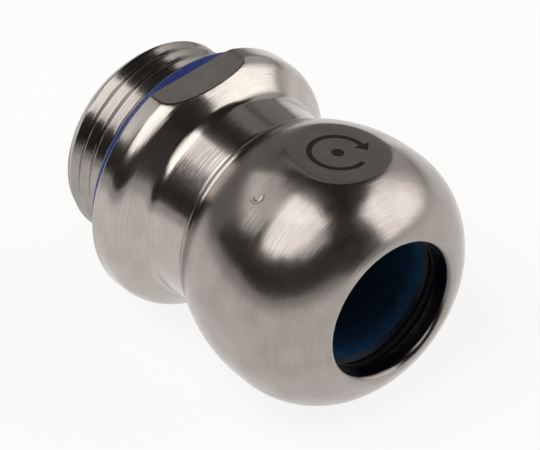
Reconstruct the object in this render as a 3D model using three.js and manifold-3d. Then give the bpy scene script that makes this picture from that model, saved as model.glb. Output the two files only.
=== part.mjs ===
// A hygienic M20 x 1.5 cable gland in stainless steel, 24 mm across its wrench flats.
// It lies on its side: the gland's axis runs along X and the cable leaves towards +X, out of the dome nut's mouth.
// Stations along the axis are measured from the seat face of the collar, the plane that meets the panel.
// All lengths are in millimetres and all angles are in degrees, unless a name says otherwise.
import * as THREE from "three";
import { mergeVertices, toCreasedNormals } from "three/addons/utils/BufferGeometryUtils.js";
import Module from "manifold-3d";

const wasm = await Module();
wasm.setup();

// ---------------------------------------------------------------- driving dimensions

const SEGMENTS = 36; // facets round each turned piece, and steps in one turn of a thread
const ARC_SAG = 0.035; // how far a facet of a profile's arc may stay inside the true arc
const ACROSS_FLATS = 24;
const PITCH = 1.5;
const CABLE_BORE_RADIUS = 7;

// connection thread, M20 x 1.5, behind the collar
const CONNECTION_CREST_RADIUS = 9.9;
const CONNECTION_ROOT_RADIUS = 9.4;
const CONNECTION_END = -8.5;
const CONNECTION_RELIEF = -1.5;
const CONNECTION_CHAMFER = 1.1;
const CONNECTION_PHASE = 0.85; // turns by which the ridge leads one that starts at the seat face, at +Y

// collar and neck of the gland body
const COLLAR_RADIUS = 12.9;
const COLLAR_LENGTH = 1.44;
const COLLAR_SHOULDER = 2.18;
const SEAT_EDGE_ROUND = 0.2;
const NECK_START = 5.25; // where the fillet runs out into the neck
const NECK_RADIUS = 10.3;
const NECK_FILLET = 1.42;
const NECK_END = 9.15;
const NECK_END_RADIUS = 10; // the neck narrows a little towards the dome nut

// groove for the panel seal in the seat face
const PANEL_GROOVE_OUTER = 12.05;
const PANEL_GROOVE_DEPTH = 0.95;
const PANEL_SEAL_INNER = 10.2;
const PANEL_SEAL_PROUD = 1.4;
const PANEL_SEAL_LIP = 0.45;
const PANEL_SEAL_CLEARANCE = 0.1;

// spigot of the gland body, under the dome nut
const GROOVE_LAND_RADIUS = 9.45;
const NECK_GROOVE_START = 9.9;
const NECK_GROOVE_END = 11;
const NECK_GROOVE_RADIUS = 8.5;
const SPIGOT_LAND_RADIUS = 9.05;
const SPIGOT_LAND_END = 11.2;
const SPIGOT_CREST_RADIUS = 8.92;
const SPIGOT_ROOT_RADIUS = 8.05;
const SPIGOT_END = 16.5;
const SPIGOT_CHAMFER = 0.6;
const SPIGOT_CONE_LENGTH = 1.2;
const SPIGOT_CONE_RADIUS = 7.75;

// dome nut
const NUT_RADIUS = 12.82;
const NUT_REAR = 9.38;
const NUT_RIM_RADIUS = 10.08;
const NUT_RIM_ROUND = 0.5;
const NUT_CROWN_START = 18;
const NUT_CROWN_END = 18.9;
const NUT_REAR_ARC = 16.1;
const NUT_FRONT_ARC = 8.25;
const NUT_FLAT_TURN = -10; // the nut's flats stop 10 degrees short of the collar's
const MOUTH_RADIUS = 6.74;
const MOUTH_LIP = 0.6;
const MOUTH_LENGTH = 1.2;
const MOUTH_STEP = 0.2;
const SKIRT_RADIUS = 9.6;
const NUT_THREAD_START = 12.15;
const NUT_THREAD_END = 16.9;
const NUT_THREAD_ROOT = 9.12;
const NUT_THREAD_CREST = 8.28;
const NUT_THREAD_PHASE = 0.5; // the nut's ridges lie midway between the spigot's
const NUT_CAVITY_RADIUS = 10.45;
const NUT_CAVITY_START = 17.6;
const NUT_CAVITY_END = 21.6;
const NUT_CONE_RADIUS = 7.3;

// thread forms: half widths of one ridge along the axis, at its root and at its crest
const CONNECTION_FORM = { rootHalf: 0.72, crestHalf: 0.12 };
const SPIGOT_FORM = { rootHalf: 0.6, crestHalf: 0.14 };
const RIDGE_EMBED = 0.15; // how far a ridge reaches into the metal that carries it

// sealing insert and pressure ring
const INSERT_BORE_RADIUS = 6.5;
const INSERT_BELLY_RADIUS = 10.25;
const INSERT_NOSE = 16.55;
const INSERT_SHOULDER = 17.4;
const INSERT_FRONT = 23.6;
const RING_BACK = 23.7;
const RING_FRONT = 24.45;
const RING_BORE_RADIUS = 6.95;
const CONE_CLEARANCE = 0.17;

// ---------------------------------------------------------------- materials

function finish(color, roughness, metalness) {
  return new THREE.MeshStandardMaterial({ color, roughness, metalness });
}

const stainlessSteel = finish(0xa8a29c, 0.3, 1);
const blueRubber = finish(0x24408f, 0.6, 0);
const greyPolymer = finish(0x77726d, 0.45, 0);

// ---------------------------------------------------------------- geometry helpers

// Points [x, r] of an arc in a profile. Angle 0 points along +X and angle 90 points away from the axis.
function arc(centreX, centreR, radius, fromAngle, toAngle) {
  const stepAngle = 2 * THREE.MathUtils.radToDeg(Math.acos(1 - ARC_SAG / radius));
  const steps = Math.ceil(Math.abs(toAngle - fromAngle) / stepAngle);
  const points = [];
  for (let i = 0; i <= steps; i += 1) {
    const angle = THREE.MathUtils.degToRad(fromAngle + ((toAngle - fromAngle) * i) / steps);
    points.push([centreX + radius * Math.cos(angle), centreR + radius * Math.sin(angle)]);
  }
  return points;
}

// A solid of revolution about X from a closed profile of [x, r] points, listed front to back along the outside.
function turned(profile) {
  const outline = [...profile, profile[0]].map(([x, r]) => new THREE.Vector2(r, x));
  const geometry = new THREE.LatheGeometry(outline, SEGMENTS);
  geometry.rotateZ(-Math.PI / 2);
  return toManifold(geometry);
}

// One closed ridge that winds round X as a right-hand thread, from the turn that holds station `from` to past `to`.
function helicalRidge({ form, baseRadius, crestRadius, from, to, phase }) {
  const { rootHalf, crestHalf } = form;
  const section = [
    [-rootHalf, baseRadius],
    [-crestHalf, crestRadius],
    [crestHalf, crestRadius],
    [rootHalf, baseRadius],
  ];
  if (crestRadius > baseRadius) {
    section.reverse(); // so that the faces point out of the ridge on an outside thread too
  }
  const firstTurn = Math.floor((from - rootHalf) / PITCH) - 1;
  const lastTurn = Math.ceil((to + rootHalf) / PITCH) + 1;
  const steps = (lastTurn - firstTurn) * SEGMENTS;
  const corners = section.length;
  const positions = [];
  const indices = [];
  for (let i = 0; i <= steps; i += 1) {
    const turn = firstTurn + i / SEGMENTS;
    const angle = turn * 2 * Math.PI;
    for (const [offset, radius] of section) {
      positions.push((turn + phase) * PITCH + offset, radius * Math.cos(angle), radius * Math.sin(angle));
    }
  }
  for (let i = 0; i < steps; i += 1) {
    for (let j = 0; j < corners; j += 1) {
      const a = i * corners + j;
      const b = i * corners + ((j + 1) % corners);
      indices.push(a, b, a + corners, b, b + corners, a + corners);
    }
  }
  const last = steps * corners;
  indices.push(0, 2, 1, 0, 3, 2);
  indices.push(last, last + 1, last + 2, last, last + 2, last + 3);
  const geometry = new THREE.BufferGeometry();
  geometry.setAttribute("position", new THREE.Float32BufferAttribute(positions, 3));
  geometry.setIndex(indices);
  return toManifold(geometry);
}

// A slab whose two faces are the wrench flats, turned about X.
function flatsSlab(turn) {
  const reach = 4 * ACROSS_FLATS;
  const geometry = new THREE.BoxGeometry(reach, reach, ACROSS_FLATS);
  geometry.rotateX(THREE.MathUtils.degToRad(turn));
  return toManifold(geometry);
}

function toManifold(source) {
  const geometry = source.clone();
  geometry.deleteAttribute("normal");
  geometry.deleteAttribute("uv");
  const merged = mergeVertices(geometry);
  const solid = new wasm.Manifold(
    new wasm.Mesh({
      numProp: 3,
      vertProperties: new Float32Array(merged.getAttribute("position").array),
      triVerts: new Uint32Array(merged.getIndex().array),
    }),
  );
  if (solid.volume() <= 0) {
    throw new Error("a solid's faces point inwards");
  }
  return solid;
}

function toMesh(name, solid, material) {
  const { vertProperties, triVerts } = solid.getMesh();
  const geometry = new THREE.BufferGeometry();
  geometry.setAttribute("position", new THREE.BufferAttribute(vertProperties, 3));
  geometry.setIndex(new THREE.BufferAttribute(triVerts, 1));
  const mesh = new THREE.Mesh(toCreasedNormals(geometry, Math.PI / 6), material);
  mesh.name = name;
  return mesh;
}

// ---------------------------------------------------------------- gland body

// The shoulder arc of the collar, the straight cone that leaves it and the fillet that ends on the neck.
function shoulderAndFillet() {
  const taper = Math.atan2(NECK_RADIUS - NECK_END_RADIUS, NECK_END - NECK_START);
  const shoulderCentreR = COLLAR_RADIUS - COLLAR_SHOULDER;
  const filletCentreX = NECK_START + NECK_FILLET * Math.sin(taper);
  const filletCentreR = NECK_RADIUS + NECK_FILLET * Math.cos(taper);
  const reach = filletCentreX - COLLAR_LENGTH;
  const rise = filletCentreR - shoulderCentreR;
  const crossing = Math.acos((COLLAR_SHOULDER + NECK_FILLET) / Math.hypot(reach, rise));
  const lean = THREE.MathUtils.radToDeg(Math.atan2(reach, rise) - crossing);
  const runOut = 270 - THREE.MathUtils.radToDeg(taper);
  return [
    ...arc(COLLAR_LENGTH, shoulderCentreR, COLLAR_SHOULDER, 90, 90 - lean),
    ...arc(filletCentreX, filletCentreR, NECK_FILLET, 270 - lean, runOut),
  ];
}

function glandBody() {
  const boreChamfer = 0.4;
  const wall = 0.6;
  const rootStart = CONNECTION_CHAMFER - (CONNECTION_CREST_RADIUS - CONNECTION_ROOT_RADIUS);
  const blank = turned([
    [CONNECTION_END, CABLE_BORE_RADIUS + boreChamfer],
    [CONNECTION_END, CONNECTION_CREST_RADIUS - CONNECTION_CHAMFER],
    [CONNECTION_END + rootStart, CONNECTION_ROOT_RADIUS],
    [PANEL_GROOVE_DEPTH, CONNECTION_ROOT_RADIUS],
    [PANEL_GROOVE_DEPTH, PANEL_GROOVE_OUTER],
    [0, PANEL_GROOVE_OUTER],
    ...arc(SEAT_EDGE_ROUND, COLLAR_RADIUS - SEAT_EDGE_ROUND, SEAT_EDGE_ROUND, 180, 90),
    ...shoulderAndFillet(),
    [NECK_END, NECK_END_RADIUS],
    [NECK_END, GROOVE_LAND_RADIUS],
    [NECK_GROOVE_START, GROOVE_LAND_RADIUS],
    [NECK_GROOVE_START, NECK_GROOVE_RADIUS],
    [NECK_GROOVE_END, NECK_GROOVE_RADIUS],
    [NECK_GROOVE_END, SPIGOT_LAND_RADIUS],
    [SPIGOT_LAND_END, SPIGOT_LAND_RADIUS],
    [SPIGOT_LAND_END, SPIGOT_ROOT_RADIUS],
    [SPIGOT_END, SPIGOT_ROOT_RADIUS],
    [SPIGOT_END, SPIGOT_CONE_RADIUS],
    [SPIGOT_END - SPIGOT_CONE_LENGTH, CABLE_BORE_RADIUS],
    [CONNECTION_END + boreChamfer, CABLE_BORE_RADIUS],
  ]);
  const connectionEnvelope = turned([
    [CONNECTION_END + rootStart, CONNECTION_ROOT_RADIUS - wall],
    [CONNECTION_END + rootStart, CONNECTION_ROOT_RADIUS],
    [CONNECTION_END + CONNECTION_CHAMFER, CONNECTION_CREST_RADIUS],
    [CONNECTION_END + CONNECTION_CHAMFER, CONNECTION_CREST_RADIUS + RIDGE_EMBED],
    [CONNECTION_RELIEF - CONNECTION_CHAMFER, CONNECTION_CREST_RADIUS + RIDGE_EMBED],
    [CONNECTION_RELIEF, CONNECTION_ROOT_RADIUS],
    [CONNECTION_RELIEF, CONNECTION_ROOT_RADIUS - wall],
  ]);
  const connectionThread = helicalRidge({
    form: CONNECTION_FORM,
    baseRadius: CONNECTION_ROOT_RADIUS - RIDGE_EMBED,
    crestRadius: CONNECTION_CREST_RADIUS,
    from: CONNECTION_END,
    to: CONNECTION_RELIEF,
    phase: CONNECTION_PHASE,
  }).intersect(connectionEnvelope);
  const spigotEnvelope = turned([
    [SPIGOT_LAND_END + wall, SPIGOT_ROOT_RADIUS - wall],
    [SPIGOT_LAND_END + wall, SPIGOT_ROOT_RADIUS],
    [SPIGOT_LAND_END + wall + SPIGOT_CHAMFER, SPIGOT_CREST_RADIUS + RIDGE_EMBED],
    [SPIGOT_END - SPIGOT_CHAMFER, SPIGOT_CREST_RADIUS + RIDGE_EMBED],
    [SPIGOT_END - SEAT_EDGE_ROUND, SPIGOT_ROOT_RADIUS],
    [SPIGOT_END - SEAT_EDGE_ROUND, SPIGOT_ROOT_RADIUS - wall],
  ]);
  const spigotThread = helicalRidge({
    form: SPIGOT_FORM,
    baseRadius: SPIGOT_ROOT_RADIUS - RIDGE_EMBED,
    crestRadius: SPIGOT_CREST_RADIUS,
    from: SPIGOT_LAND_END,
    to: SPIGOT_END,
    phase: 0,
  }).intersect(spigotEnvelope);
  const solid = blank.add(connectionThread).add(spigotThread).intersect(flatsSlab(0));
  return toMesh("gland_body", solid, stainlessSteel);
}

// ---------------------------------------------------------------- seals

// The panel seal: a rib held in the groove of the seat face, with a rounded lip that stands proud of it.
function panelSealRing() {
  const outerRadius = PANEL_GROOVE_OUTER - PANEL_SEAL_CLEARANCE;
  const lipCentreX = PANEL_SEAL_LIP - PANEL_SEAL_PROUD;
  const backX = PANEL_GROOVE_DEPTH - PANEL_SEAL_CLEARANCE;
  const solid = turned([
    ...arc(lipCentreX, PANEL_SEAL_INNER + PANEL_SEAL_LIP, PANEL_SEAL_LIP, 270, 180),
    ...arc(lipCentreX, outerRadius - PANEL_SEAL_LIP, PANEL_SEAL_LIP, 180, 90),
    [backX, outerRadius],
    [backX, PANEL_SEAL_INNER],
  ]);
  return toMesh("panel_seal_ring", solid, blueRubber);
}

// The neck seal: an O-ring that closes the gap between the neck and the skirt of the dome nut.
function neckSealRing() {
  const clearance = 0.06;
  const outerRadius = SKIRT_RADIUS - 2 * clearance;
  const sectionRadius = (outerRadius - NECK_GROOVE_RADIUS - clearance) / 2;
  const centreX = (NECK_GROOVE_START + NECK_GROOVE_END) / 2;
  const section = arc(centreX, outerRadius - sectionRadius, sectionRadius, 180, -180);
  section.pop();
  return toMesh("neck_seal_ring", turned(section), blueRubber);
}

// The sealing insert: a soft barrel with a nose that enters the spigot and a bell mouth at the front.
function sealingInsert() {
  const noseRadius = 6.95;
  const shoulderRadius = 7.42;
  const rearRadius = 8.9;
  const frontRadius = 8.05;
  const bellMouth = 0.45;
  const bellyStation = 20;
  const bellySteps = 7;
  const belly = new THREE.QuadraticBezierCurve(
    new THREE.Vector2(INSERT_SHOULDER, rearRadius),
    new THREE.Vector2(bellyStation, 2 * INSERT_BELLY_RADIUS - (rearRadius + frontRadius) / 2),
    new THREE.Vector2(INSERT_FRONT, frontRadius),
  );
  const solid = turned([
    [INSERT_NOSE, INSERT_BORE_RADIUS],
    [INSERT_NOSE, noseRadius],
    [INSERT_SHOULDER, shoulderRadius],
    ...belly.getPoints(bellySteps).map((point) => [point.x, point.y]),
    ...arc(INSERT_FRONT, INSERT_BORE_RADIUS, bellMouth, 90, 180),
  ]);
  return toMesh("sealing_insert", solid, blueRubber);
}

// The pressure ring: it lets the nut turn on its cone while the insert behind it stays still.
function pressureRing() {
  const edge = 0.15;
  const coneRadiusAt = (x) => nutConeRadius(x) - CONE_CLEARANCE;
  const solid = turned([
    [RING_BACK, RING_BORE_RADIUS + edge],
    [RING_BACK, coneRadiusAt(RING_BACK) - edge],
    [RING_BACK + edge, coneRadiusAt(RING_BACK + edge)],
    [RING_FRONT - edge, coneRadiusAt(RING_FRONT - edge)],
    [RING_FRONT, coneRadiusAt(RING_FRONT) - edge],
    [RING_FRONT, RING_BORE_RADIUS + 2 * edge],
    [RING_FRONT - 2 * edge, RING_BORE_RADIUS],
    [RING_BACK + edge, RING_BORE_RADIUS],
  ]);
  return toMesh("pressure_ring", solid, greyPolymer);
}

// ---------------------------------------------------------------- dome nut

const LIP_CENTRE_RADIUS = MOUTH_RADIUS + MOUTH_LIP;
const FRONT_ARC_CENTRE_RADIUS = NUT_RADIUS - NUT_FRONT_ARC;
const LIP_RISE = LIP_CENTRE_RADIUS - FRONT_ARC_CENTRE_RADIUS;
const LIP_CENTRE = NUT_CROWN_END + Math.sqrt((NUT_FRONT_ARC - MOUTH_LIP) ** 2 - LIP_RISE ** 2);
const MOUTH_BACK = LIP_CENTRE - MOUTH_LENGTH;
const CONE_END = MOUTH_BACK - MOUTH_STEP;

// Radius of the nut's inner cone at a station along the axis.
function nutConeRadius(x) {
  const share = (x - NUT_CAVITY_END) / (CONE_END - NUT_CAVITY_END);
  return THREE.MathUtils.lerp(NUT_CAVITY_RADIUS, NUT_CONE_RADIUS, share);
}

function domeNut() {
  const skirtChamfer = 0.2;
  const rearArcCentreR = NUT_RADIUS - NUT_REAR_ARC;
  const rimCentreX = NUT_REAR + NUT_RIM_ROUND;
  const rimCentreR = NUT_RIM_RADIUS;
  const rimAngle = THREE.MathUtils.radToDeg(Math.atan2(rimCentreR - rearArcCentreR, rimCentreX - NUT_CROWN_START));
  const lipAngle = THREE.MathUtils.radToDeg(Math.atan2(LIP_RISE, LIP_CENTRE - NUT_CROWN_END));
  const blank = turned([
    [NUT_REAR, SKIRT_RADIUS + skirtChamfer],
    ...arc(rimCentreX, rimCentreR, NUT_RIM_ROUND, 180, rimAngle),
    ...arc(NUT_CROWN_START, rearArcCentreR, NUT_REAR_ARC, rimAngle, 90).slice(1),
    ...arc(NUT_CROWN_END, FRONT_ARC_CENTRE_RADIUS, NUT_FRONT_ARC, 90, lipAngle),
    ...arc(LIP_CENTRE, LIP_CENTRE_RADIUS, MOUTH_LIP, lipAngle, -90).slice(1),
    [MOUTH_BACK, MOUTH_RADIUS],
    [CONE_END, NUT_CONE_RADIUS],
    [NUT_CAVITY_END, NUT_CAVITY_RADIUS],
    [NUT_CAVITY_START, NUT_CAVITY_RADIUS],
    [NUT_THREAD_END, NUT_THREAD_ROOT],
    [NUT_THREAD_START, NUT_THREAD_ROOT],
    [NUT_THREAD_START - skirtChamfer, SKIRT_RADIUS],
    [NUT_REAR + skirtChamfer, SKIRT_RADIUS],
  ]);
  const ridgeFoot = NUT_THREAD_ROOT + RIDGE_EMBED;
  const threadLead = ridgeFoot - NUT_THREAD_CREST;
  const threadEnvelope = turned([
    [NUT_THREAD_START + RIDGE_EMBED, NUT_THREAD_ROOT],
    [NUT_THREAD_START + RIDGE_EMBED, ridgeFoot + RIDGE_EMBED],
    [NUT_THREAD_END, ridgeFoot + RIDGE_EMBED],
    [NUT_THREAD_END, NUT_THREAD_ROOT],
    [NUT_THREAD_END - threadLead, NUT_THREAD_CREST - RIDGE_EMBED],
    [NUT_THREAD_START + threadLead, NUT_THREAD_CREST - RIDGE_EMBED],
  ]);
  const thread = helicalRidge({
    form: SPIGOT_FORM,
    baseRadius: ridgeFoot,
    crestRadius: NUT_THREAD_CREST,
    from: NUT_THREAD_START,
    to: NUT_THREAD_END,
    phase: NUT_THREAD_PHASE,
  }).intersect(threadEnvelope);
  const solid = blank.add(thread).intersect(flatsSlab(NUT_FLAT_TURN));
  return toMesh("dome_nut", solid, stainlessSteel);
}

// ---------------------------------------------------------------- assembly

// The seal pack stays captive in the dome nut: it travels with the nut and does not turn.
const sealPack = new THREE.Group();
sealPack.add(pressureRing(), sealingInsert());

const gland = new THREE.Group();
gland.add(glandBody(), panelSealRing(), neckSealRing(), domeNut(), sealPack);

// The origin is the middle of the footprint, on the plane that the gland lies on.
const extent = new THREE.Box3().setFromObject(gland);
gland.position.set(-(extent.min.x + extent.max.x) / 2, -(extent.min.y + extent.max.y) / 2, -extent.min.z);

export default gland;
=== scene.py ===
"""Looks for the M20 cable gland: finely turned stainless steel, blue elastomer seals and soft studio light.

Shapes are worked out in millimetres in the gland's own profile frame, where x runs along the axis from the
collar's seat face and r is the distance from the axis. Meshes are made in metres in the row frame.
"""
import math

import bpy
import numpy as np
from mathutils import Matrix, Vector


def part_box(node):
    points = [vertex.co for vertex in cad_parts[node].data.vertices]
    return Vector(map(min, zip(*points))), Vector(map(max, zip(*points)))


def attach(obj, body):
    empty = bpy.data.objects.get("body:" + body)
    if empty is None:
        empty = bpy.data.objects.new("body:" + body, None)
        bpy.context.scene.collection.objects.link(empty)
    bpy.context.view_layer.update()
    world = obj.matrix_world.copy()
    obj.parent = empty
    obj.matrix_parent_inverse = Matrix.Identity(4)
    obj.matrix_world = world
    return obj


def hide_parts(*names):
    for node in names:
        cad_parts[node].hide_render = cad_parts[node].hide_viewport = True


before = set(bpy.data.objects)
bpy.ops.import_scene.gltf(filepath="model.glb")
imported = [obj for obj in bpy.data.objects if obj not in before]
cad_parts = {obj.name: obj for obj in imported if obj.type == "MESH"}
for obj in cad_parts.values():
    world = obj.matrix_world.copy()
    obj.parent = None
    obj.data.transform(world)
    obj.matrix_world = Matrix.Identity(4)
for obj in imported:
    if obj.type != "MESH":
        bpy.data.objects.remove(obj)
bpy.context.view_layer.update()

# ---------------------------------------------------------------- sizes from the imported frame

MM = 0.001
body_low, body_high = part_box("gland_body")
nut_low, nut_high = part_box("dome_nut")
insert_low, insert_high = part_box("sealing_insert")
ring_low, ring_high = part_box("pressure_ring")
panel_low, panel_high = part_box("panel_seal_ring")
neck_low, neck_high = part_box("neck_seal_ring")

THREAD_LENGTH = 8.5
AXIS_Z = (body_low.z + body_high.z) / 2
SEAT_X = body_low.x + THREAD_LENGTH * MM


def station(row_x):
    """A row-frame x in metres as a station in millimetres from the seat face."""
    return (row_x - SEAT_X) / MM


FLAT = (body_high.z - body_low.z) / 2 / MM  # distance of each wrench flat from the axis
COLLAR_RADIUS = (body_high.y - body_low.y) / 2 / MM
NUT_RADIUS = (nut_high.y - nut_low.y) / 2 / MM
NUT_REAR = station(nut_low.x)
NUT_FRONT = station(nut_high.x)
SPIGOT_END = station(body_high.x)
PITCH = 1.5
NUT_FLAT_TURN = math.radians(-10)  # turn of the nut's flats from the collar's

# ---------------------------------------------------------------- profiles

FINE_STEP = 0.004  # spacing of the dense outline that the rings are picked from
MAX_STEP = 0.7
MAX_TURN = math.radians(7.5)
MAX_FLAT_TURN = math.radians(0.8)
THREAD_STEP = PITCH / 20
ARC_STEP = 0.5


def arc(cx, cr, radius, start, end):
    """Points of an arc; angle 0 points along +x and 90 points away from the axis."""
    count = max(2, int(abs(end - start) / ARC_STEP))
    angles = np.radians(np.linspace(start, end, count + 1))
    return [(cx + radius * math.cos(a), cr + radius * math.sin(a), 0.0) for a in angles]


def rounded(points):
    """A closed outline as (x, r) points, with each corner (x, r, round) replaced by a tangent arc."""
    out = []
    count = len(points)
    for i, (x, r, radius) in enumerate(points):
        corner = np.array((x, r))
        if radius <= 0:
            out.append(corner)
            continue
        before = np.array(points[i - 1][:2]) - corner
        after = np.array(points[(i + 1) % count][:2]) - corner
        before /= np.linalg.norm(before)
        after /= np.linalg.norm(after)
        half = math.acos(np.clip(before @ after, -1, 1)) / 2
        reach = radius / math.tan(half)
        centre = corner + (before + after) / np.linalg.norm(before + after) * radius / math.sin(half)
        first = corner + before * reach - centre
        last = corner + after * reach - centre
        sweep = math.atan2(first[0] * last[1] - first[1] * last[0], first @ last)
        steps = max(2, int(math.degrees(abs(sweep)) / 4))
        for k in range(steps + 1):
            a = sweep * k / steps
            turned = (first[0] * math.cos(a) - first[1] * math.sin(a),
                      first[0] * math.sin(a) + first[1] * math.cos(a))
            out.append(centre + turned)
    return np.array(out)


def flat_angle(r):
    """Half the angle that a wrench flat takes out of a circle of radius r."""
    return np.arccos(np.minimum(1.0, FLAT / np.maximum(r, 1e-6)))


def picked(outline, threads=()):
    """Picks the rings of a closed outline: closer at bends, on threads and where a flat's edge moves."""
    closed = np.vstack([outline, outline[:1]])
    steps = np.hypot(*np.diff(closed, axis=0).T)
    length = np.concatenate([[0], np.cumsum(steps)])
    fine = np.arange(0, length[-1], FINE_STEP)
    x = np.interp(fine, length, closed[:, 0])
    r = np.interp(fine, length, closed[:, 1])
    heading = np.unwrap(np.arctan2(np.gradient(r), np.gradient(x)))
    cost = np.full(len(fine), FINE_STEP / MAX_STEP)
    cost += np.abs(np.gradient(heading)) / MAX_TURN
    cost += np.abs(np.gradient(flat_angle(r))) / MAX_FLAT_TURN
    for t in threads:
        cost[t.covers(x, r)] += FINE_STEP / THREAD_STEP
    total = np.cumsum(cost)
    marks = np.arange(0, total[-1], total[-1] / math.ceil(total[-1]))
    index = np.unique(np.searchsorted(total, marks).clip(0, len(fine) - 1))
    return x[index], r[index]


# ---------------------------------------------------------------- threads and flats


class Thread:
    """A right-hand thread on the stretch start..end of a profile, outside a shaft or inside a bore."""

    def __init__(self, start, end, root, crest, phase, lead_in, lead_out,
                 root_half=0.6, crest_half=0.14, softness=0.55):
        self.start, self.end, self.root, self.crest = start, end, root, crest
        self.phase, self.lead_in, self.lead_out = phase, lead_in, lead_out
        self.root_half, self.crest_half = root_half, crest_half
        self.softness = softness  # 0 is a sharp trapezium, 1 a full sine flank

    def covers(self, x, r):
        near = np.abs(r - self.root) < 0.06
        return near & (x > self.start - 0.01) & (x < self.end + 0.01)

    def radius(self, x, angle):
        turn = angle / (2 * math.pi)
        along = x / PITCH - turn - self.phase
        offset = np.abs(along - np.round(along)) * PITCH
        rise = np.clip((self.root_half - offset) / (self.root_half - self.crest_half), 0, 1)
        rise = rise - self.softness * np.sin(2 * math.pi * rise) / (2 * math.pi)
        fade = np.clip((x - self.start) / self.lead_in, 0, 1) * np.clip((self.end - x) / self.lead_out, 0, 1)
        limit = self.root + (self.crest - self.root) * np.clip(fade * 1.02, 0, 1)
        height = self.root + (self.crest - self.root) * rise
        return np.minimum(height, limit) if self.crest > self.root else np.maximum(height, limit)


def soft_min(a, b, width):
    """The lesser of a and b, rounded off where they are within width of each other."""
    h = np.clip(0.5 + 0.5 * (b - a) / width, 0, 1)
    return b * (1 - h) + a * h - width * h * (1 - h)


EDGE_WEAR = 0.11  # width over which a wrench flat's edge is rounded
MIN_FLAT_ANGLE = math.radians(2)
EDGE_ANGLE = math.radians(0.75)
FLAT_STEPS, EDGE_STEPS, ROUND_STEPS = 9, 6, 45


def quadrant(half_angle):
    """Angles from the middle of a flat to a quarter turn on, bunched at the flat's edge."""
    inner, outer = half_angle - EDGE_ANGLE, half_angle + EDGE_ANGLE
    return np.concatenate([
        np.linspace(0, inner, FLAT_STEPS, endpoint=False),
        np.linspace(inner, outer, EDGE_STEPS, endpoint=False),
        np.linspace(outer, math.pi / 2, ROUND_STEPS, endpoint=False),
    ])


def ring_angles(half_angle):
    """Angles of one ring, measured from the middle of the first flat."""
    q = quadrant(half_angle)
    mirrored = np.concatenate([[math.pi / 2], (math.pi - q[1:])[::-1]])
    half = np.concatenate([q, mirrored])
    return np.concatenate([half, half + math.pi])


# ---------------------------------------------------------------- meshes


def make_object(name, vertices, faces, material, smooth_angle=32):
    mesh = bpy.data.meshes.new(name)
    mesh.from_pydata([tuple(v) for v in vertices], [], [tuple(int(i) for i in f) for f in faces])
    mesh.validate()
    mesh.shade_smooth()
    mesh.set_sharp_from_angle(angle=math.radians(smooth_angle))
    mesh.materials.append(material)
    obj = bpy.data.objects.new(name, mesh)
    bpy.context.scene.collection.objects.link(obj)
    return obj


def turned(name, outline, material, threads=(), flats=None):
    """A closed turned piece from an outline that runs forwards along the outside and back along the bore.

    flats is the turn in radians of a pair of wrench flats.
    """
    x, r = picked(rounded(outline), threads)
    rows = []
    for xi, ri in zip(x, r):
        half_angle = max(MIN_FLAT_ANGLE, float(flat_angle(ri))) if flats is not None else math.radians(20)
        local = ring_angles(half_angle)
        angle = local + (flats or 0.0)
        radius = np.full(len(angle), ri)
        for t in threads:
            if t.covers(xi, ri):
                radius = t.radius(xi, angle + math.pi / 2)
        if flats is not None and ri > FLAT - 1:
            radius = soft_min(radius, FLAT / np.maximum(np.abs(np.cos(local)), 1e-6), EDGE_WEAR)
        rows.append(np.stack([
            SEAT_X + np.full(len(angle), xi) * MM,
            -radius * np.sin(angle) * MM,
            AXIS_Z + radius * np.cos(angle) * MM,
        ], 1))
    rings, around = len(rows), len(rows[0])
    vertices = np.vstack(rows)
    faces = []
    for i in range(rings):
        k = (i + 1) % rings
        for j in range(around):
            m = (j + 1) % around
            faces.append((i * around + j, k * around + j, k * around + m, i * around + m))
    return make_object(name, vertices, faces, material)


# ---------------------------------------------------------------- material nodes


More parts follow.
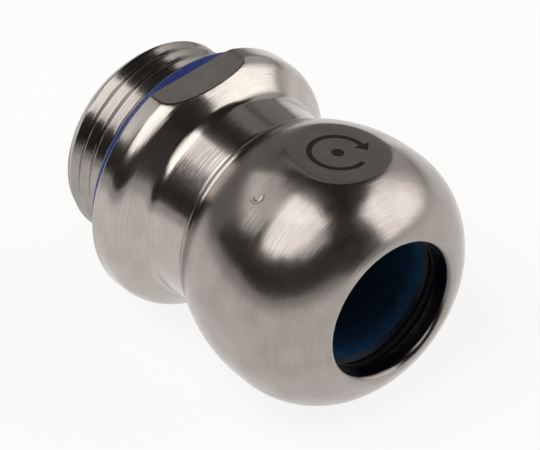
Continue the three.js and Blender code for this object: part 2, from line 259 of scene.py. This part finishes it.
class Nodes:
    """Short forms for building one material's node tree."""

    def __init__(self, name):
        self.material = bpy.data.materials.new(name)
        self.material.use_nodes = True
        self.tree = self.material.node_tree
        self.shader = self.tree.nodes["Principled BSDF"]
        self.position = self.node("ShaderNodeNewGeometry").outputs["Position"]

    def node(self, kind, **settings):
        made = self.tree.nodes.new(kind)
        for key, value in settings.items():
            setattr(made, key, value)
        return made

    def link(self, source, target):
        self.tree.links.new(source, target)

    def set(self, **values):
        for key, value in values.items():
            self.shader.inputs[key.replace("_", " ")].default_value = value

    def put(self, socket, value):
        if isinstance(value, bpy.types.NodeSocket):
            self.link(value, socket)
        else:
            socket.default_value = value

    def math(self, operation, a, b=0.0):
        made = self.node("ShaderNodeMath", operation=operation)
        self.put(made.inputs[0], a)
        self.put(made.inputs[1], b)
        return made.outputs[0]

    def axes(self, vector):
        made = self.node("ShaderNodeSeparateXYZ")
        self.link(vector, made.inputs[0])
        return made.outputs

    def vector(self, x, y, z):
        made = self.node("ShaderNodeCombineXYZ")
        for socket, value in zip(made.inputs, (x, y, z)):
            self.put(socket, value)
        return made.outputs[0]

    def plus(self, a, b):
        return self.math("ADD", a, b)

    def minus(self, a, b):
        return self.math("SUBTRACT", a, b)

    def times(self, a, b):
        return self.math("MULTIPLY", a, b)

    def length(self, a, b):
        return self.math("SQRT", self.plus(self.times(a, a), self.times(b, b)))

    def shaded(self, colour, shade):
        """The colour multiplied by a grey value."""
        return self.blend(1.0, colour, self.vector(shade, shade, shade), "MULTIPLY")

    def noise(self, vector, scale, detail=2.0, roughness=0.5):
        made = self.node("ShaderNodeTexNoise")
        self.link(vector, made.inputs["Vector"])
        made.inputs["Scale"].default_value = scale
        made.inputs["Detail"].default_value = detail
        made.inputs["Roughness"].default_value = roughness
        return made.outputs["Fac"]

    def remap(self, value, low, high, to_low=0.0, to_high=1.0, smooth=False):
        made = self.node("ShaderNodeMapRange", interpolation_type="SMOOTHSTEP" if smooth else "LINEAR")
        self.link(value, made.inputs["Value"])
        for key, number in (("From Min", low), ("From Max", high), ("To Min", to_low), ("To Max", to_high)):
            made.inputs[key].default_value = number
        return made.outputs["Result"]

    def blend(self, factor, a, b, blend_type="MIX"):
        made = self.node("ShaderNodeMix", data_type="RGBA", blend_type=blend_type)
        self.put(made.inputs[0], factor)
        self.put(made.inputs[6], a)
        self.put(made.inputs[7], b)
        return made.outputs[2]

    def bump(self, height, distance):
        made = self.node("ShaderNodeBump")
        self.link(height, made.inputs["Height"])
        made.inputs["Distance"].default_value = distance
        made.inputs["Strength"].default_value = 1.0
        return made.outputs["Normal"]


def gland_place(n):
    """The shaded point in millimetres: along the axis from the seat face, across it, and up from it."""
    x, y, z = n.axes(n.position)
    along = n.math("DIVIDE", n.minus(x, SEAT_X), MM)
    across = n.math("DIVIDE", y, MM)
    up = n.math("DIVIDE", n.minus(z, AXIS_Z), MM)
    return along, across, up


STEEL = (0.48, 0.443, 0.41, 1)
STEEL_DULL = (0.41, 0.375, 0.35, 1)
NUT_STEEL = (0.385, 0.352, 0.325, 1)
NUT_STEEL_DULL = (0.345, 0.313, 0.29, 1)
INK = (0.085, 0.052, 0.037, 1)
SEAL_BLUE = (0.010, 0.026, 0.16, 1)
SEAL_BLUE_WORN = (0.018, 0.042, 0.22, 1)
INSERT_BLUE = (0.007, 0.034, 0.09, 1)
INSERT_BLUE_WORN = (0.010, 0.05, 0.12, 1)
RING_DARK = (0.006, 0.005, 0.005, 1)
RING_SPECKLE = (0.014, 0.012, 0.011, 1)

FINE_LINES, FINE_BREAK = 12.0, 0.8  # turning lines a millimetre, and how often they break, a radian
COARSE_LINES, COARSE_BREAK = 4.5, 2.2
GIRTH = 11.0  # radius at which the scratches are laid out
HAIRS = ((0.5, 9.0), (-0.6, 8.0), (1.25, 10.0))  # lean and count a millimetre of each set of hair scratches
HAIR_STRETCH = 0.3
LINE_DEPTH = 0.0000055  # metres, as are the two depths after it
RUBBER_GRAIN_DEPTH = 0.000008
SPECKLE_DEPTH = 0.000005
THREAD_TONE = 0.76  # how much darker the steel is on the connection thread
MOUTH_PAINTED_SHADE = 0.4  # and how dark the painted shade is inside the nut's mouth, damping the steel's reflection there

MARK_STATION, MARK_RADIUS, MARK_LINE = 17.7, 2.55, 0.46
MARK_GAP_TURN, MARK_GAP_HALF = 0.9, 0.55  # middle and half width of the ring's gap, in radians
NICK_STATION, NICK_TURN, NICK_RADIUS = 16.6, math.radians(29.6), 0.52
NICK_DEPTH = 6.0  # in line depths


def steel(name, bright, dull, roughness, seed, mark=None, nick=None):
    """Stainless steel with turning lines round the axis, crossed hair scratches and a faint bloom."""
    n = Nodes(name)
    along, across, up = gland_place(n)
    place = n.vector(along, across, up)
    angle = n.math("ARCTAN2", n.times(across, -1.0), up)
    radius = n.length(across, up)

    def turning_lines(lines, breaks, roughness):
        at = n.vector(n.times(along, lines), n.times(radius, lines), n.times(angle, breaks))
        return n.noise(at, 1.0, detail=2.0, roughness=roughness)

    fine = turning_lines(FINE_LINES, FINE_BREAK, 0.6)
    coarse = n.remap(turning_lines(COARSE_LINES, COARSE_BREAK, 0.7), 0.3, 0.7)
    bloom = n.noise(place, 0.35 + seed * 0.01, detail=5.0)

    girth = n.times(angle, GIRTH)
    scratches = None
    for k, (lean, count) in enumerate(HAIRS):
        u = n.plus(n.times(along, math.cos(lean)), n.times(girth, math.sin(lean)))
        v = n.minus(n.times(girth, math.cos(lean)), n.times(along, math.sin(lean)))
        at = n.vector(n.times(u, HAIR_STRETCH), n.times(v, count), seed + 3.1 * k)
        streak = n.remap(n.noise(at, 1.0, detail=1.0), 0.64, 0.86)
        scratches = streak if scratches is None else n.math("MAXIMUM", scratches, streak)

    colour = n.blend(n.remap(bloom, 0.35, 0.7), bright, dull)
    patches = n.remap(n.noise(place, 0.22, detail=1.0), 0.4, 0.62, 0.04, 0.13, smooth=True)
    shade = n.minus(1.05, n.times(coarse, patches))
    shade = n.times(shade, n.remap(along, -1.7, -0.3, THREAD_TONE, 1.0, smooth=True))
    colour = n.shaded(colour, shade)
    rough = n.remap(bloom, 0.3, 0.7, roughness * 0.85, roughness * 1.25)
    rough = n.plus(rough, n.times(coarse, 0.05))
    rough = n.plus(rough, n.times(scratches, 0.05))
    if mark is not None:
        # painted shade: on the nut, the steel is darkened inside its mouth, within radius 7.2 mm, to damp its
        # reflection
        colour = n.shaded(colour, n.remap(radius, 6.8, 7.2, MOUTH_PAINTED_SHADE, 1.0, smooth=True))
        inked = mark(n, along, across, up)
        colour = n.blend(inked, colour, INK)
        rough = n.plus(rough, n.times(inked, 0.1))
    n.set(Metallic=1.0)
    n.link(colour, n.shader.inputs["Base Color"])
    n.link(rough, n.shader.inputs["Roughness"])

    height = n.plus(n.times(fine, 0.45), n.times(coarse, 0.55))
    height = n.minus(height, n.times(scratches, 0.3))
    if nick is not None:
        height = n.minus(height, n.times(nick(n, along, angle, radius), NICK_DEPTH))
    n.link(n.bump(height, LINE_DEPTH), n.shader.inputs["Normal"])
    return n.material


def turn_mark(n, along, across, up):
    """A laser-dark sign on the nut's top flat: an open ring with an arrow head, for 'turn to tighten'."""
    tilt = NUT_FLAT_TURN
    u = n.minus(along, MARK_STATION)
    v = n.plus(n.times(across, math.cos(tilt)), n.times(up, math.sin(tilt)))
    height = n.minus(n.times(up, math.cos(tilt)), n.times(across, math.sin(tilt)))
    distance = n.length(u, v)
    off_ring = n.math("ABSOLUTE", n.minus(distance, MARK_RADIUS))
    ring = n.remap(off_ring, MARK_LINE * 0.45, MARK_LINE * 0.65, 1.0, 0.0)
    sector = n.math("ARCTAN2", v, u)
    kept_part = n.math("GREATER_THAN", n.math("ABSOLUTE", n.minus(sector, MARK_GAP_TURN)), MARK_GAP_HALF)
    ring = n.times(ring, kept_part)

    tip = MARK_GAP_TURN + MARK_GAP_HALF
    du = n.minus(u, MARK_RADIUS * math.cos(tip))
    dv = n.minus(v, MARK_RADIUS * math.sin(tip))
    forward = n.plus(n.times(du, math.sin(tip)), n.times(dv, -math.cos(tip)))
    sideways = n.math("ABSOLUTE", n.plus(n.times(du, math.cos(tip)), n.times(dv, math.sin(tip))))
    wedge = n.plus(n.times(sideways, 1.2), forward)
    head = n.times(n.math("LESS_THAN", wedge, 0.95), n.math("GREATER_THAN", forward, -0.05))
    dot = n.math("LESS_THAN", distance, MARK_LINE * 1.3)
    sign = n.math("MAXIMUM", n.math("MAXIMUM", ring, head), dot)
    on_top = n.math("GREATER_THAN", height, FLAT - 0.05)
    return n.times(sign, on_top)


def hook_nick(n, along, angle, radius):
    """A small hook-shaped nick on the dome, left by another fitting in the box."""
    u = n.minus(along, NICK_STATION)
    v = n.times(n.minus(angle, NICK_TURN), radius)
    off_ring = n.math("ABSOLUTE", n.minus(n.length(u, v), NICK_RADIUS))
    line = n.remap(off_ring, 0.05, 0.22, 1.0, 0.0, smooth=True)
    side = n.remap(n.plus(n.times(u, 0.69), n.times(v, 0.72)), -0.25, 0.1, smooth=True)
    return n.times(line, side)


def rubber(name, colour, edge_colour, roughness, gloss=0.5, painted_shade_end=None):
    """A moulded elastomer, faintly mottled. An open end, given by its station, gets painted shade: dark on
    its front face, and in the bore painted darker deeper in and paler towards the front.
    """
    n = Nodes(name)
    along, across, up = gland_place(n)
    place = n.vector(along, across, up)
    mottle = n.noise(place, 1.4, detail=4.0)
    grain = n.noise(place, 14.0, detail=2.0)
    tone = n.blend(n.remap(mottle, 0.35, 0.7), colour, edge_colour)
    if painted_shade_end is not None:
        # painted light and shade: the bore darker deeper in and paler towards the open end, and the front
        # face painted dark
        painted_bore_shade = n.remap(along, painted_shade_end - 2.6, painted_shade_end - 0.6, 0.75, 1.5, smooth=True)
        front = n.remap(along, painted_shade_end - 0.55, painted_shade_end - 0.35, 1.0, 0.12, smooth=True)
        tone = n.shaded(tone, n.times(painted_bore_shade, front))
    n.link(tone, n.shader.inputs["Base Color"])
    n.link(n.remap(grain, 0.3, 0.7, roughness * 0.85, roughness * 1.15), n.shader.inputs["Roughness"])
    n.link(n.bump(grain, RUBBER_GRAIN_DEPTH), n.shader.inputs["Normal"])
    n.set(Specular_IOR_Level=gloss)
    return n.material


def polymer(name, colour, edge_colour, roughness):
    """A moulded ring of glass-filled polymer with a fine speckle."""
    n = Nodes(name)
    speckle = n.noise(n.vector(*gland_place(n)), 9.0, detail=5.0, roughness=0.7)
    n.link(n.blend(n.remap(speckle, 0.4, 0.65), colour, edge_colour), n.shader.inputs["Base Color"])
    n.link(n.remap(speckle, 0.3, 0.7, roughness * 0.9, roughness * 1.1), n.shader.inputs["Roughness"])
    n.link(n.bump(speckle, SPECKLE_DEPTH), n.shader.inputs["Normal"])
    return n.material


# ---------------------------------------------------------------- camera and light


def add_camera():
    """The photograph's view: from above and in front of the mouth, through a long lens."""
    azimuth, elevation, roll = math.radians(52.58), math.radians(41.30), math.radians(-4.74)
    distance = 0.3294
    aim = Vector((-0.0026, 0.00256, 0.00853))
    level = Vector((math.sin(azimuth), -math.cos(azimuth), 0))
    back = level * math.cos(elevation) + Vector((0, 0, math.sin(elevation)))
    right = Vector((math.cos(azimuth), math.sin(azimuth), 0))
    up = back.cross(right)
    rolled_right = right * math.cos(roll) + up * math.sin(roll)
    rolled_up = up * math.cos(roll) - right * math.sin(roll)
    data = bpy.data.cameras.new("camera")
    data.sensor_width = 36
    data.lens = 236.9
    data.clip_start, data.clip_end = 0.01, 20
    camera = bpy.data.objects.new("camera", data)
    turn = Matrix((rolled_right, rolled_up, back)).transposed()
    camera.matrix_world = Matrix.Translation(aim + back * distance) @ turn.to_4x4()
    bpy.context.scene.collection.objects.link(camera)
    bpy.context.scene.camera = camera


def area_light(name, width, height, location, outwards, radiance, colour):
    """A rectangular light that shines against its outwards direction and isn't seen by the camera."""
    data = bpy.data.lights.new(name, "AREA")
    data.shape = "RECTANGLE"
    data.size, data.size_y = width, height
    data.energy = radiance * math.pi * width * height
    data.color = colour
    light = bpy.data.objects.new(name, data)
    light.location = location
    light.rotation_mode = "QUATERNION"
    light.rotation_quaternion = outwards.to_track_quat("Z", "Y")
    light.visible_camera = False
    bpy.context.scene.collection.objects.link(light)


def wall_panel(name, azimuths, elevations, distance, radiance, colour=(1, 1, 1)):
    """An upright soft panel between two azimuths and two elevations, in degrees; azimuth 90 is towards +X."""
    middle = math.radians(sum(azimuths) / 2)
    outwards = Vector((math.sin(middle), math.cos(middle), 0))
    width = 2 * distance * math.tan(math.radians(azimuths[1] - azimuths[0]) / 2)
    low, high = (distance * math.tan(math.radians(e)) for e in elevations)
    location = outwards * distance + Vector((0, 0, AXIS_Z + (low + high) / 2))
    area_light(name, width, high - low, location, outwards, radiance, colour)


def ceiling_panel(name, xs, ys, height, radiance, colour=(1, 1, 1)):
    """A level soft panel overhead; xs and ys are its edges as shares of its height."""
    location = Vector((sum(xs) / 2, sum(ys) / 2, 1)) * height + Vector((0, 0, AXIS_Z))
    width, painted_bore_shade = (xs[1] - xs[0]) * height, (ys[1] - ys[0]) * height
    area_light(name, width, painted_bore_shade, location, Vector((0, 0, 1)), radiance, colour)


def add_light():
    warm, neutral = (1.0, 0.985, 0.965), (1.0, 0.99, 0.975)
    wall_panel("panel_behind", (20, 63), (2, 48), 1.3, 2.1, warm)
    wall_panel("panel_behind_edge", (9, 20), (2, 48), 1.32, 1.5, warm)
    wall_panel("panel_behind_fade", (-1, 9), (2, 44), 1.34, 0.85, warm)
    wall_panel("panel_back_left", (-30, -1), (2, 34), 1.6, 0.56, neutral)
    wall_panel("panel_back_far_left", (-60, -30), (2, 30), 1.6, 0.23, neutral)
    wall_panel("panel_left", (-122, -60), (1, 30), 1.6, 0.20, neutral)
    wall_panel("panel_left_wing", (-135, -89), (29, 40), 1.4, 1.2, neutral)
    wall_panel("panel_left_wing_top", (-132, -87), (40, 53), 1.42, 0.82, neutral)
    wall_panel("table_edge_left", (165, 238), (0.5, 6.5), 1.7, 0.50, neutral)
    wall_panel("table_edge_front", (92, 165), (0.5, 7), 1.7, 0.48, neutral)
    ceiling_panel("panel_above", (-0.60, 0.15), (-1.35, -0.10), 1.2, 2.35, neutral)
    ceiling_panel("panel_above_middle", (0.15, 0.55), (-1.15, -0.12), 1.2, 2.0, neutral)
    ceiling_panel("panel_above_edge", (0.55, 0.95), (-0.95, -0.25), 1.2, 0.95, neutral)
    wall_panel("panel_left_rise", (-89, -75), (30, 46), 1.6, 0.15, neutral)
    wall_panel("panel_dim_front", (82, 150), (8, 33), 1.8, 0.035, (1.0, 0.9, 0.88))
    wall_panel("panel_over_collar", (-75, -28), (34, 50), 1.8, 0.25, neutral)
    world = bpy.data.worlds.new("studio")
    world.use_nodes = True
    background = world.node_tree.nodes["Background"]
    background.inputs["Color"].default_value = (0.022, 0.020, 0.019, 1)
    background.inputs["Strength"].default_value = 1.0
    bpy.context.scene.world = world
    bpy.context.scene.view_settings.view_transform = "Standard"


def add_floor():
    """A plain pale light table under the gland, a little dimmer towards its far edges."""
    n = Nodes("pale_floor")
    n.set(Roughness=0.9)
    n.shader.inputs["Base Color"].default_value = (0.2, 0.2, 0.2, 1)
    n.shader.inputs["Emission Color"].default_value = (1, 0.995, 0.99, 1)
    n.shader.inputs["Specular IOR Level"].default_value = 0.0
    x, y, z = n.axes(n.position)
    n.link(n.remap(n.length(x, y), 0.07, 0.4, 0.84, 0.5, smooth=True), n.shader.inputs["Emission Strength"])
    reach = 4.0
    corners = [(sx * reach, sy * reach, 0) for sx, sy in ((-1, -1), (1, -1), (1, 1), (-1, 1))]
    make_object("floor", corners, [(0, 1, 2, 3)], n.material)


# ---------------------------------------------------------------- steel body

NECK_START, NECK_RADIUS = 5.25, 10.3
NECK_END, NECK_END_RADIUS = 9.15, 10.0
SHOULDER = 2.18
FILLET = 1.42
COLLAR_LENGTH = 1.44
BORE = 7.0
CONNECTION_ROOT = 9.5
CONNECTION_PHASE = 0.85
CONNECTION_CREST = 9.9
CONNECTION_RELIEF = -1.5
SPIGOT_ROOT = 8.05
SPIGOT_CREST = 8.92


def shoulder_and_fillet():
    """The collar's shoulder arc, the straight cone that leaves it and the fillet that ends on the neck."""
    taper = math.atan2(NECK_RADIUS - NECK_END_RADIUS, NECK_END - NECK_START)
    shoulder_r = COLLAR_RADIUS - SHOULDER
    fillet_x = NECK_START + FILLET * math.sin(taper)
    fillet_r = NECK_RADIUS + FILLET * math.cos(taper)
    reach, rise = fillet_x - COLLAR_LENGTH, fillet_r - shoulder_r
    lean = math.degrees(math.atan2(reach, rise) - math.acos((SHOULDER + FILLET) / math.hypot(reach, rise)))
    return (arc(COLLAR_LENGTH, shoulder_r, SHOULDER, 90, 90 - lean)
            + arc(fillet_x, fillet_r, FILLET, 270 - lean, 270 - math.degrees(taper)))


def add_body(material):
    end = -THREAD_LENGTH
    groove_outer, groove_depth = 12.05, 0.95
    land_r, spigot_land_r = 9.45, 9.05
    ring_groove_r, ring_groove_back, ring_groove_front = 8.5, 9.9, 11.0
    connection = Thread(end + 0.6, CONNECTION_RELIEF, CONNECTION_ROOT, CONNECTION_CREST, CONNECTION_PHASE,
                        lead_in=0.5, lead_out=0.7, root_half=0.75, crest_half=0.03, softness=0.05)
    spigot = Thread(11.8, SPIGOT_END - 0.2, SPIGOT_ROOT, SPIGOT_CREST, phase=0.0, lead_in=0.6, lead_out=0.6)
    outline = [
        (end, BORE + 0.4, 0.05),
        (end, CONNECTION_ROOT - 0.6, 0.08),
        (end + 0.6, CONNECTION_ROOT, 0.0),
        (groove_depth, CONNECTION_ROOT, 0.1),
        (groove_depth, groove_outer, 0.1),
        (0, groove_outer, 0.05),
        (0, COLLAR_RADIUS, 0.14),
        *shoulder_and_fillet(),
        (NECK_END, NECK_END_RADIUS, 0.06),
        (NECK_END, land_r, 0.06),
        (ring_groove_back, land_r, 0.08),
        (ring_groove_back, ring_groove_r, 0.12),
        (ring_groove_front, ring_groove_r, 0.12),
        (ring_groove_front, spigot_land_r, 0.06),
        (11.2, spigot_land_r, 0.06),
        (11.35, SPIGOT_ROOT, 0.1),
        (SPIGOT_END, SPIGOT_ROOT, 0.06),
        (SPIGOT_END, 7.75, 0.05),
        (SPIGOT_END - 1.2, BORE, 0.2),
        (end + 0.4, BORE, 0.1),
    ]
    body = turned("steel_body", outline, material, threads=(connection, spigot), flats=0.0)
    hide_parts("gland_body")
    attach(body, "body")


# ---------------------------------------------------------------- steel dome nut


def add_nut(material):
    rear_arc, front_arc, lip = 16.1, 8.25, 0.6
    crown_start = 18.0
    mouth = 6.74
    skirt = 9.6
    thread_start, thread_end, thread_root, thread_crest = 12.15, 16.9, 9.12, 8.28
    cavity = 10.45
    crown = NUT_RADIUS - 0.01
    rear_r = crown - rear_arc
    front_r = crown - front_arc
    bead_x, bead_r, bead = NUT_REAR + 0.5, 10.1, 0.5
    dome_start = bead_x + 0.55
    dome_angle = math.degrees(math.acos((dome_start - crown_start) / rear_arc))
    lip_r = mouth + lip
    lip_x = NUT_FRONT - 0.01 - lip
    crown_end = lip_x - math.sqrt((front_arc - lip) ** 2 - (lip_r - front_r) ** 2)
    lip_angle = math.degrees(math.atan2(lip_r - front_r, lip_x - crown_end))
    mouth_back = lip_x - 1.2
    cone_end = mouth_back - 0.2
    thread = Thread(12.3, thread_end, thread_root, thread_crest, phase=0.5, lead_in=0.8, lead_out=0.8)
    outline = [
        (NUT_REAR, skirt + 0.2, 0.05),
        *arc(bead_x, bead_r, bead, 180, 62),
        (dome_start - 0.16, bead_r + 0.40, 0.02),
        (dome_start - 0.02, bead_r + 0.70, 0.02),
        *arc(crown_start, rear_r, rear_arc, dome_angle, 90),
        *arc(crown_end, front_r, front_arc, 90, lip_angle),
        *arc(lip_x, lip_r, lip, lip_angle, -90)[1:],
        (mouth_back, mouth, 0.08),
        (cone_end, 7.3, 0.1),
        (21.6, cavity, 0.5),
        (17.6, cavity, 0.3),
        (thread_end, thread_root, 0.0),
        (thread_start, thread_root, 0.05),
        (11.95, skirt, 0.05),
        (NUT_REAR + 0.2, skirt, 0.05),
    ]
    nut = turned("steel_dome_nut", outline, material, threads=(thread,), flats=NUT_FLAT_TURN)
    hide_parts("dome_nut")
    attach(nut, "nut")


# ---------------------------------------------------------------- seals and rings


def add_panel_seal(material):
    outer = (panel_high.y - panel_low.y) / 2 / MM
    proud = station(panel_low.x)
    seat = station(panel_high.x)
    inner = 10.2
    outline = [
        (proud, inner, 0.4),
        (proud, outer, 0.42),
        (seat, outer, 0.1),
        (seat, inner, 0.1),
    ]
    seal = turned("blue_panel_seal", outline, material)
    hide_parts("panel_seal_ring")
    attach(seal, "body")


def add_neck_seal(material):
    section = (neck_high.x - neck_low.x) / 2 / MM
    centre = station((neck_high.x + neck_low.x) / 2)
    outer = (neck_high.y - neck_low.y) / 2 / MM
    seal = turned("blue_neck_seal", arc(centre, outer - section, section, 180, -180)[:-1], material)
    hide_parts("neck_seal_ring")
    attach(seal, "body")


def add_insert(material):
    nose, front = station(insert_low.x), station(insert_high.x)
    bore = 6.5
    shoulder = 17.4
    belly_r = (insert_high.y - insert_low.y) / 2 / MM
    outline = [
        (nose, bore, 0.1),
        (nose, 6.95, 0.12),
        (shoulder, 7.42, 0.1),
        (shoulder, 8.9, 0.25),
        (18.8, 10.0, 1.6),
        (20.6, belly_r - 0.05, 1.2),
        (21.9, 9.6, 1.2),
        (front, 8.05, 0.15),
        (front, bore + 0.45, 0.12),
        (front - 0.45, bore, 0.25),
    ]
    insert = turned("blue_sealing_insert", outline, material)
    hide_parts("sealing_insert")
    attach(insert, "seal_pack")


def add_pressure_ring(material):
    back, front = station(ring_low.x), station(ring_high.x)
    outer = (ring_high.y - ring_low.y) / 2 / MM
    bore = 6.95
    outline = [
        (back, bore, 0.15),
        (back, outer, 0.12),
        (front, outer - 1.2, 0.15),
        (front, bore, 0.35),
    ]
    ring = turned("grey_pressure_ring", outline, material)
    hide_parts("pressure_ring")
    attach(ring, "seal_pack")


# ---------------------------------------------------------------- scene

add_camera()
add_light()
add_floor()
add_body(steel("turned_steel_body", STEEL, STEEL_DULL, roughness=0.14, seed=0.0))
add_nut(steel("turned_steel_nut", NUT_STEEL, NUT_STEEL_DULL, roughness=0.17, seed=7.0,
              mark=turn_mark, nick=hook_nick))
seal_rubber = rubber("blue_seal_rubber", SEAL_BLUE, SEAL_BLUE_WORN, roughness=0.26, gloss=0.7)
add_panel_seal(seal_rubber)
add_neck_seal(seal_rubber)
add_insert(rubber("blue_insert_rubber", INSERT_BLUE, INSERT_BLUE_WORN, roughness=0.5, gloss=0.2,
                  painted_shade_end=station(insert_high.x)))
add_pressure_ring(polymer("dark_ring_polymer", RING_DARK, RING_SPECKLE, roughness=0.4))
